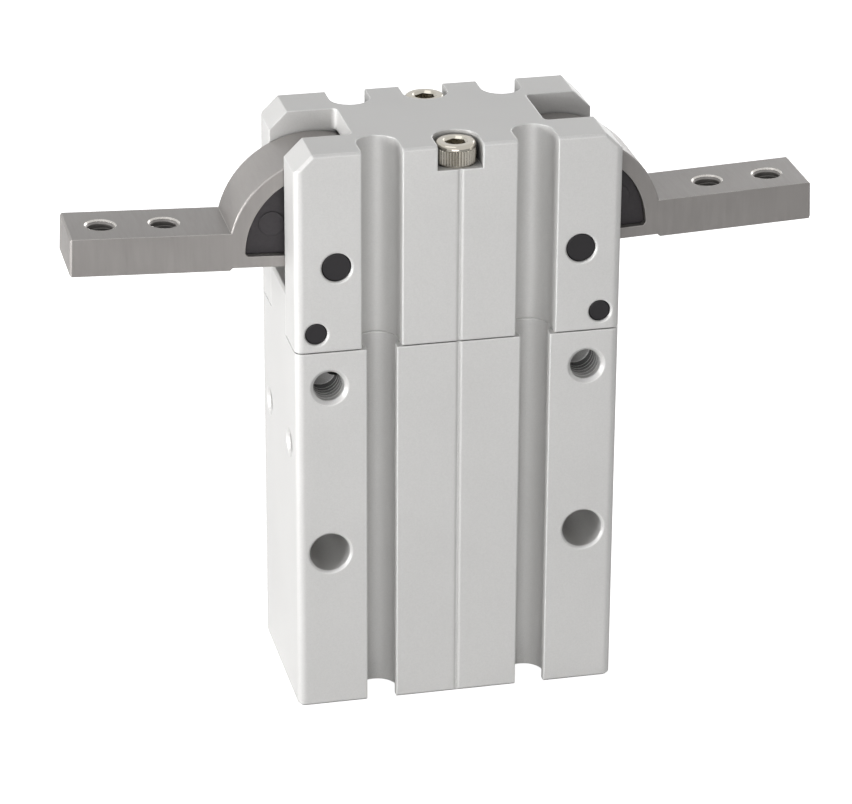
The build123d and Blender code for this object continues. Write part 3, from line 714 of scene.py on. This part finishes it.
class Pattern:
    """The Geometry Nodes trees for what repeats, each made at its first call."""

    @staticmethod
    def thread() -> bpy.types.NodeTree:
        """Turns of an inner thread in a hole at each point of the mesh.

        Returns:
            The tree.
        """
        name = "inner_thread"
        if name in bpy.data.node_groups:
            return bpy.data.node_groups[name]
        graph = Graph.group(
            name,
            "GeometryNodeTree",
            [
                ("Geometry", GEOMETRY, None),
                ("Radius", FLOAT, 0.002),
                ("Ridge", FLOAT, 0.0002),
                ("Pitch", FLOAT, 0.0008),
                ("Length", FLOAT, 0.004),
                ("Steps", INTEGER, 36),
                ("Axis", VECTOR, (0.0, 0.0, 1.0)),
                ("Material", MATERIAL, None),
            ],
            [("Geometry", GEOMETRY)],
        )
        into = graph.add("NodeGroupInput").outputs
        spiral = graph.add(
            "GeometryNodeCurveSpiral",
            None,
            Resolution=into["Steps"],
            Rotations=graph.math("DIVIDE", into["Length"], into["Pitch"]),
            Start_Radius=into["Radius"],
            End_Radius=into["Radius"],
            Height=into["Length"],
        )
        upright = graph.add(
            "GeometryNodeSetCurveNormal", {"mode": "Z_UP"}, Curve=spiral.outputs[0]
        )
        section = graph.add(
            "GeometryNodeCurvePrimitiveCircle", None, Resolution=4, Radius=into["Ridge"]
        )
        coil = graph.add(
            "GeometryNodeCurveToMesh",
            None,
            Curve=upright.outputs[0],
            Profile_Curve=section.outputs[0],
            Fill_Caps=True,
        )
        turned = graph.add(
            "FunctionNodeAlignRotationToVector", {"axis": "Z"}, Vector=into["Axis"]
        )
        placed = graph.add(
            "GeometryNodeInstanceOnPoints",
            None,
            Points=into["Geometry"],
            Instance=coil.outputs[0],
            Rotation=turned.outputs[0],
        )
        Pattern._finish(graph, placed.outputs[0], into["Material"])
        return graph.tree

    @staticmethod
    def knurl() -> bpy.types.NodeTree:
        """A given screw with straight ridges round its head, at each point of the mesh.

        Returns:
            The tree.
        """
        name = "straight_knurl"
        if name in bpy.data.node_groups:
            return bpy.data.node_groups[name]
        graph = Graph.group(
            name,
            "GeometryNodeTree",
            [
                ("Geometry", GEOMETRY, None),
                ("Head", OBJECT, None),
                ("Ridges", INTEGER, 40),
                ("Radius", FLOAT, 0.0027),
                ("Ridge", FLOAT, 0.0003),
                ("Height", FLOAT, 0.0024),
                ("Middle", FLOAT, 0.0015),
                ("Material", MATERIAL, None),
            ],
            [("Geometry", GEOMETRY)],
        )
        into = graph.add("NodeGroupInput").outputs
        ring = graph.add(
            "GeometryNodeMeshCircle", None, Vertices=into["Ridges"], Radius=into["Radius"]
        )
        lift = graph.add("ShaderNodeCombineXYZ", None, Z=into["Middle"])
        raised = graph.add(
            "GeometryNodeSetPosition", None, Geometry=ring.outputs[0], Offset=lift.outputs[0]
        )
        size = graph.add(
            "ShaderNodeCombineXYZ", None, X=into["Ridge"], Y=into["Ridge"], Z=into["Height"]
        )
        bar = graph.add("GeometryNodeMeshCube", None, Size=size.outputs[0])
        diamond = graph.add(
            "GeometryNodeTransform",
            None,
            Geometry=bar.outputs[0],
            Rotation=(0.0, 0.0, math.pi / 4),
        )
        place = graph.add("GeometryNodeInputPosition").outputs[0]
        flat = graph.vector_math("MULTIPLY", place, (1.0, 1.0, 0.0)).outputs[0]
        facing = graph.add("FunctionNodeAlignRotationToVector", {"axis": "X"}, Vector=flat)
        bars = graph.add(
            "GeometryNodeInstanceOnPoints",
            None,
            Points=raised.outputs[0],
            Instance=diamond.outputs[0],
            Rotation=facing.outputs[0],
        )
        head = graph.add("GeometryNodeObjectInfo", None, Object=into["Head"])
        screw = graph.add("GeometryNodeJoinGeometry")
        for part in (bars.outputs[0], head.outputs["Geometry"]):
            graph.tree.links.new(part, screw.inputs[0])
        placed = graph.add(
            "GeometryNodeInstanceOnPoints",
            None,
            Points=into["Geometry"],
            Instance=screw.outputs[0],
        )
        Pattern._finish(graph, placed.outputs[0], into["Material"])
        return graph.tree

    @staticmethod
    def _finish(
        graph: Graph, placed: bpy.types.NodeSocket, material: bpy.types.NodeSocket
    ) -> None:
        """Ends a tree: makes its instances real and gives them their material.

        Args:
            graph: the tree's graph.
            placed: the output socket of the instances.
            material: the input of the tree that holds the material.
        """
        real = graph.add("GeometryNodeRealizeInstances", None, Geometry=placed).outputs[0]
        dressed = graph.add("GeometryNodeSetMaterial", None, Geometry=real, Material=material)
        graph.add("NodeGroupOutput", None, Geometry=dressed.outputs[0])


@dataclass(frozen=True)
class Countersink:
    """The cut cone at the mouth of a hole, in metal lighter than the piece around it, partly as a
    painted highlight, in millimetres.
    """

    radius: float
    chamfer: float
    skin: float = 0.03
    proud: float = 0.035
    steps: int = 64

    def build(
        self,
        name: str,
        mouths: Sequence[Point],
        inward: Point,
        finish: Finish,
        slot: str,
        body: str,
    ) -> bpy.types.Object:
        """Lays this cone in the mouths of several holes that run the same way.

        Args:
            name: the piece's name.
            mouths: the centre of each hole's mouth in millimetres.
            inward: the direction into the holes.
            finish: the finish of the cut.
            slot: the record's material slot; not used.
            body: the CAD body that the cones ride on.

        Returns:
            The piece.
        """
        way = Vector(inward).normalized()
        across = way.orthogonal().normalized()
        beside = way.cross(across)
        rim = self.radius + self.chamfer
        low, high = self.proud, self.proud + self.skin
        profile = [
            (rim - low, 0.0),
            (self.radius, self.chamfer - low),
            (self.radius, self.chamfer - high),
            (rim - high, 0.0),
        ]
        verts: list[Point] = []
        faces: list[Face] = []
        for mouth in mouths:
            rings = [len(verts) + row * self.steps for row in range(len(profile))]
            for radius, depth in profile:
                for turn in Modeller.turns(self.steps):
                    spoke = across * math.cos(turn) + beside * math.sin(turn)
                    verts.append(tuple(Vector(mouth) + way * depth + spoke * radius))
            for ring, below in zip(rings, rings[1:] + rings[:1]):
                faces += Modeller.band(ring, below, self.steps)
        piece = Modeller.mesh_object(name, verts, faces)
        Modeller.settle(piece)
        finish.dress(piece)
        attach(piece, body)
        LOG.info("%s: %d faces", name, len(piece.data.polygons))
        return piece


@dataclass(frozen=True)
class Thread:
    """The visible turns of a tapped hole, in millimetres."""

    radius: float
    ridge: float
    pitch: float
    start: float
    length: float

    def build(
        self, name: str, mouths: Sequence[Point], inward: Point, finish: Finish, body: str
    ) -> bpy.types.Object:
        """Cuts this thread in several holes that run the same way.

        Args:
            name: the piece's name.
            mouths: the centre of each hole's mouth in millimetres.
            inward: the direction into the holes.
            finish: the finish of the wall.
            body: the CAD body that the thread rides on.

        Returns:
            The piece.
        """
        way = Vector(inward).normalized()
        points = [tuple(Vector(mouth) + way * self.start) for mouth in mouths]
        piece = Modeller.mesh_object(name, points, [])
        modifier = piece.modifiers.new("thread", "NODES")
        modifier.node_group = Pattern.thread()
        Modeller.set_inputs(
            modifier,
            {
                "Radius": self.radius * MM,
                "Ridge": self.ridge * MM,
                "Pitch": self.pitch * MM,
                "Length": self.length * MM,
                "Axis": tuple(way),
                "Material": finish.material(),
            },
        )
        Modeller.settle(piece)
        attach(piece, body)
        LOG.info("%s: %d faces", name, len(piece.data.polygons))
        return piece


@dataclass(frozen=True)
class Lamp:
    """A square soft lamp, with its place and side in millimetres and its power in watts."""

    name: str
    place: Point
    size: float
    power: float

    def hang(self, aim: Point) -> None:
        """Hangs the lamp.

        Args:
            aim: the point that it faces, in millimetres.
        """
        data = bpy.data.lights.new(self.name, "AREA")
        data.size = self.size * MM
        data.energy = self.power
        lamp = bpy.data.objects.new(self.name, data)
        bpy.context.scene.collection.objects.link(lamp)
        away = Vector(self.place) - Vector(aim)
        turn = away.to_track_quat("Z", "Y").to_matrix().to_4x4()
        lamp.matrix_world = Matrix.Translation(Vector(self.place) * MM) @ turn


LAMPS = (
    Lamp("key_left", (-520.0, -80.0, 75.0), 260.0, 3.5),
    Lamp("front_soft", (-150.0, -580.0, 40.0), 340.0, 2.0),
    Lamp("back_soft", (420.0, 460.0, 160.0), 400.0, 1.1),
    Lamp("top_soft", (-120.0, 60.0, 620.0), 320.0, 0.33),
)


@dataclass
class Studio:
    """The camera, the lamps, the pale floor and the white background.

    The turns are in degrees, the places in millimetres and the clip distances in metres.
    """

    focal_px: float = 3843.0
    frame_px: float = 852.0
    sensor: float = 36.0
    yaw: float = 13.00
    pitch: float = 24.14
    roll: float = -0.31
    aim: Point = (0.0, 0.0, 38.0)
    offset: Point = (1.63, 0.29, 524.48)
    clip_start: float = 0.01
    clip_end: float = 20.0
    fill: float = 0.36
    floor_reach: float = 3000.0
    floor_paint: Colour = (0.86, 0.86, 0.86)
    floor_glow: float = 0.8

    def build(self) -> None:
        """Sets up everything that isn't part of the object."""
        scene = bpy.context.scene
        scene.view_settings.view_transform = "Standard"
        self._camera()
        self._world()
        self._floor()
        for lamp in LAMPS:
            lamp.hang(self.aim)
        LOG.info("studio: camera %.1f mm", scene.camera.data.lens)

    def _camera(self) -> None:
        """Places the camera as it was solved from the photograph."""
        yaw, pitch, roll = (math.radians(turn) for turn in (self.yaw, self.pitch, self.roll))
        forward = Vector(
            (math.sin(yaw) * math.cos(pitch), math.cos(yaw) * math.cos(pitch), -math.sin(pitch))
        )
        level = Vector((math.cos(yaw), -math.sin(yaw), 0.0))
        below = forward.cross(level)
        right = level * math.cos(roll) + below * math.sin(roll)
        down = below * math.cos(roll) - level * math.sin(roll)
        shift = Vector(self.offset)
        eye = Vector(self.aim) - (right * shift.x + down * shift.y + forward * shift.z)
        data = bpy.data.cameras.new("camera")
        data.sensor_width = self.sensor
        data.lens = self.focal_px / self.frame_px * self.sensor
        data.clip_start = self.clip_start
        data.clip_end = self.clip_end
        camera = bpy.data.objects.new("camera", data)
        bpy.context.scene.collection.objects.link(camera)
        turn = Matrix((right, -down, -forward)).transposed().to_4x4()
        camera.matrix_world = Matrix.Translation(eye * MM) @ turn
        bpy.context.scene.camera = camera

    def _world(self) -> None:
        """A white background for what looks at it, and a plain grey fill for the rest."""
        world = bpy.data.worlds.new("world")
        bpy.context.scene.world = world
        world.use_nodes = True
        graph = Graph(world.node_tree)
        path = graph.add("ShaderNodeLightPath").outputs
        seen = graph.math("MAXIMUM", path["Is Camera Ray"], path["Is Glossy Ray"])
        seen = graph.math("MAXIMUM", seen, path["Is Transmission Ray"])
        soft, white = (
            graph.add("ShaderNodeBackground", None, Color=rgba(WHITE), Strength=strength).outputs[0]
            for strength in (self.fill, 1.0)
        )
        mixed = graph.add("ShaderNodeMixShader", None, i0=seen, i1=soft, i2=white)
        graph.add("ShaderNodeOutputWorld", None, Surface=mixed.outputs[0])

    def _floor(self) -> None:
        """A pale floor under the object that keeps its soft shadow."""
        reach = self.floor_reach
        signs = ((-1, -1), (1, -1), (1, 1), (-1, 1))
        corners = [(reach * x, reach * y, 0.0) for x, y in signs]
        floor = Modeller.mesh_object("floor", corners, [(0, 1, 2, 3)])
        material = bpy.data.materials.new("pale_floor")
        material.use_nodes = True
        graph = Graph(material.node_tree)
        path = graph.add("ShaderNodeLightPath").outputs
        paint = graph.add("ShaderNodeBsdfDiffuse", None, Color=rgba(self.floor_paint)).outputs[0]
        glow = graph.add("ShaderNodeEmission", None, Color=rgba(WHITE), Strength=self.floor_glow)
        lit = graph.add("ShaderNodeAddShader", None, i0=paint, i1=glow.outputs[0]).outputs[0]
        mixed = graph.add("ShaderNodeMixShader", None, i0=path["Is Camera Ray"], i1=paint, i2=lit)
        graph.add("ShaderNodeOutputMaterial", None, Surface=mixed.outputs[0])
        floor.data.materials.append(material)


@dataclass
class Housing:
    """The aluminium body and finger housing with their pins, screws, ports and cylinder closure.

    The sizes are in millimetres.
    """

    frame: dict
    hole_x: float = 17.5
    port_z: float = 47.3
    port_front: float = -12.0
    side_x: float = 22.0
    side_y: float = 7.0
    side_z: float = 37.6
    screw_y: float = 9.0
    head_radius: float = 2.75
    head_height: float = 3.0
    head_round: float = 0.55
    head_steps: int = 96
    round_steps: int = 6
    knurl_top: float = 0.7
    knurl_gap: float = 0.08
    knurl_foot: float = 0.25
    knurl_sink: float = 0.2
    knurl_ridge: float = 0.26
    knurl_ridges: int = 40
    shank_radius: float = 1.5
    shank_chamfer: float = 0.3
    socket: float = 2.5
    socket_depth: float = 1.5
    lead_in: float = 1.65
    lead_in_depth: float = 0.3
    body_name: str = "housing"

    def build(self) -> None:
        """Dresses the fixed pieces and adds threads and screws."""
        finishes = {
            "body": ANODISED,
            "finger_housing": ANODISED,
            "left_pivot_pin": BLACK_STEEL,
            "right_pivot_pin": BLACK_STEEL,
            "lock_pins": BLACK_STEEL,
            "end_cap": TURNED_ALUMINIUM,
            "cap_o_ring": RUBBER,
            "retaining_clip": BLACK_STEEL,
            "lower_bumper": RUBBER,
            "upper_bumper": RUBBER,
            "rod_seal": RUBBER,
            "rod_bush": BRONZE,
            "passage_plugs": CHROME,
            "housing_screws": NICKEL,
        }
        dress_nodes(self.frame, finishes)
        self._threads()
        self._screws()

    def _threads(self) -> None:
        """The thread turns in the ports and the side holes."""
        port = Thread(radius=2.1, ridge=0.08, pitch=0.8, start=0.75, length=4.4)
        mouths = [(side.value * self.hole_x, self.port_front, self.port_z) for side in Side]
        port.build("port_threads", mouths, (0.0, 1.0, 0.0), ANODISED, self.body_name)
        screw = Thread(radius=1.65, ridge=0.1, pitch=0.7, start=0.65, length=4.0)
        for side in Side:
            name = f"{side.label}_side_threads"
            inward = (-side.value, 0.0, 0.0)
            x = side.value * self.side_x
            mouths = [(x, way * self.side_y, self.side_z) for way in (-1, 1)]
            screw.build(name, mouths, inward, ANODISED, self.body_name)

    def _screws(self) -> None:
        """The two socket head cap screws, with knurled heads."""
        lowest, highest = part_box("housing_screws")
        top = highest.z / MM
        head = self._plain_screw(lowest.z / MM - top)
        places = [(0.0, way * self.screw_y, top) for way in (-1, 1)]
        piece = Modeller.mesh_object("cap_screws", places, [])
        modifier = piece.modifiers.new("knurl", "NODES")
        modifier.node_group = Pattern.knurl()
        high = self.knurl_top + self.knurl_gap
        low = self.head_height - self.knurl_foot
        Modeller.set_inputs(
            modifier,
            {
                "Head": head,
                "Ridges": self.knurl_ridges,
                "Radius": (self.head_radius - self.knurl_ridge / math.sqrt(2)) * MM,
                "Ridge": self.knurl_ridge * MM,
                "Height": (low - high) * MM,
                "Middle": -(high + low) / 2 * MM,
                "Material": NICKEL.material(),
            },
        )
        Modeller.settle(piece)
        bpy.data.objects.remove(head)
        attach(piece, self.body_name)
        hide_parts("housing_screws")
        LOG.info("cap_screws: %d faces", len(piece.data.polygons))

    def _plain_screw(self, bottom: float) -> bpy.types.Object:
        """One cap screw without its knurl, with the top of its head at the origin.

        Args:
            bottom: the height of the shank's end in millimetres.

        Returns:
            The object, which isn't a piece of the gripper.
        """
        steps = self.head_steps
        verts: list[Point] = []
        faces: list[Face] = []
        profile = self._screw_profile(bottom)
        for radius, height in profile:
            for turn in Modeller.turns(steps):
                verts.append((radius * math.cos(turn), radius * math.sin(turn), height))
        for row in range(len(profile) - 1):
            faces += Modeller.band(row * steps, (row + 1) * steps, steps)
        faces.append(tuple(range(len(verts) - steps, len(verts))))
        above = 0
        levels = ((0.0, True), (-self.lead_in_depth, False), (-self.socket_depth, False))
        for height, is_round in levels:
            ring = len(verts)
            for turn in Modeller.turns(steps):
                radius = self.lead_in if is_round else self._socket_radius(turn)
                verts.append((radius * math.cos(turn), radius * math.sin(turn), height))
            faces += Modeller.band(above, ring, steps)
            above = ring
        faces.append(tuple(range(above, above + steps)))
        return Modeller.mesh_object("plain_screw", verts, faces)

    def _socket_radius(self, turn: float) -> float:
        """How far the wall of the hexagon socket lies from its middle.

        Args:
            turn: the direction, in radians.

        Returns:
            The distance in millimetres.
        """
        half_side = math.pi / 6
        off_flat = (turn + half_side) % (2 * half_side) - half_side
        return self.socket / 2 / math.cos(off_flat)

    def _screw_profile(self, bottom: float) -> list[tuple[float, float]]:
        """The outline of a cap screw from the top of its head down.

        Args:
            bottom: the height of the shank's end in millimetres.

        Returns:
            The radius and height of each corner in millimetres.
        """
        rim = self.head_radius
        root = rim - self.knurl_sink
        shank = self.shank_radius
        arc = [math.pi / 2 * step / self.round_steps for step in range(self.round_steps + 1)]
        rounded = [
            (
                rim - self.head_round * (1 - math.sin(turn)),
                -self.head_round * (1 - math.cos(turn)),
            )
            for turn in arc
        ]
        return rounded + [
            (rim, -self.knurl_top),
            (root, -self.knurl_top),
            (root, -self.head_height),
            (shank, -self.head_height),
            (shank, bottom + self.shank_chamfer),
            (shank - self.shank_chamfer, bottom),
        ]


@dataclass
class Drive:
    """The piston, the rod and the crosshead with its pins, and the rollers."""

    frame: dict

    def build(self) -> None:
        """Dresses the moving pieces inside."""
        finishes = {
            "piston": TURNED_ALUMINIUM,
            "piston_wear_ring": PALE_RESIN,
            "piston_magnet": MAGNET,
            "piston_seal": RUBBER,
            "piston_nut": NICKEL,
            "piston_rod": CHROME,
            "crosshead": TOOL_STEEL,
            "crosshead_screw": NICKEL,
            "left_drive_pin": BLACK_STEEL,
            "right_drive_pin": BLACK_STEEL,
            "left_drive_roller": CHROME,
            "right_drive_roller": CHROME,
        }
        dress_nodes(self.frame, finishes)


@dataclass
class Finger:
    """One steel finger with its bush, resin inserts and tapped holes.

    The sizes are in millimetres and the tilt is in degrees.
    """

    frame: dict
    side: Side
    pivot: tuple[float, float] = (16.45, 64.2)
    tilt: float = 2.4
    hole_x: float = 20.85
    hole_pitch: float = 8.4
    holes: int = 2
    arm_half: float = 2.6

    def build(self) -> None:
        """Dresses the finger, cuts its threads and lays bright cones in the mouths of its holes,
        partly a painted highlight.
        """
        label = self.side.label
        finishes = {
            f"{label}_finger": TOOL_STEEL,
            f"{label}_finger_bush": BRONZE,
            f"{label}_front_insert": BLACK_RESIN,
            f"{label}_rear_insert": BLACK_RESIN,
        }
        dress_nodes(self.frame, finishes)
        body = f"{label}_finger_assembly"
        tilt = math.radians(self.tilt)
        down = (self.side.value * math.sin(tilt), 0.0, -math.cos(tilt))
        places = [self.hole_x + step * self.hole_pitch for step in range(self.holes)]
        mouths = [self._point(along, self.arm_half) for along in places]
        thread = Thread(radius=1.7, ridge=0.09, pitch=0.7, start=0.6, length=3.9)
        thread.build(f"{label}_finger_threads", mouths, down, TOOL_STEEL, body)
        # A bright metal ring laid proud in each countersink: partly a painted highlight.
        cone = Countersink(radius=1.88, chamfer=0.27)
        name = f"{label}_finger_countersinks"
        cone.build(name, mouths, down, BRIGHT_CUT_AND_HIGHLIGHT, TOOL_STEEL.slot, body)

    def _point(self, along: float, height: float) -> Point:
        """A point of the finger, as it lies at rest.

        Args:
            along: the distance outward from the pivot in millimetres.
            height: the height above the arm's middle in millimetres.

        Returns:
            The point in millimetres.
        """
        tilt = math.radians(self.tilt)
        x = self.pivot[0] + along * math.cos(tilt) - height * math.sin(tilt)
        z = self.pivot[1] + along * math.sin(tilt) + height * math.cos(tilt)
        return (self.side.value * x, 0.0, z)


def main() -> None:
    """Builds the gripper's looks around the CAD frame."""
    logging.basicConfig(level=logging.INFO, format="%(message)s")
    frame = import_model()
    Studio().build()
    Housing(frame).build()
    Drive(frame).build()
    for side in Side:
        Finger(frame, side).build()


if __name__ == "__main__":
    main()
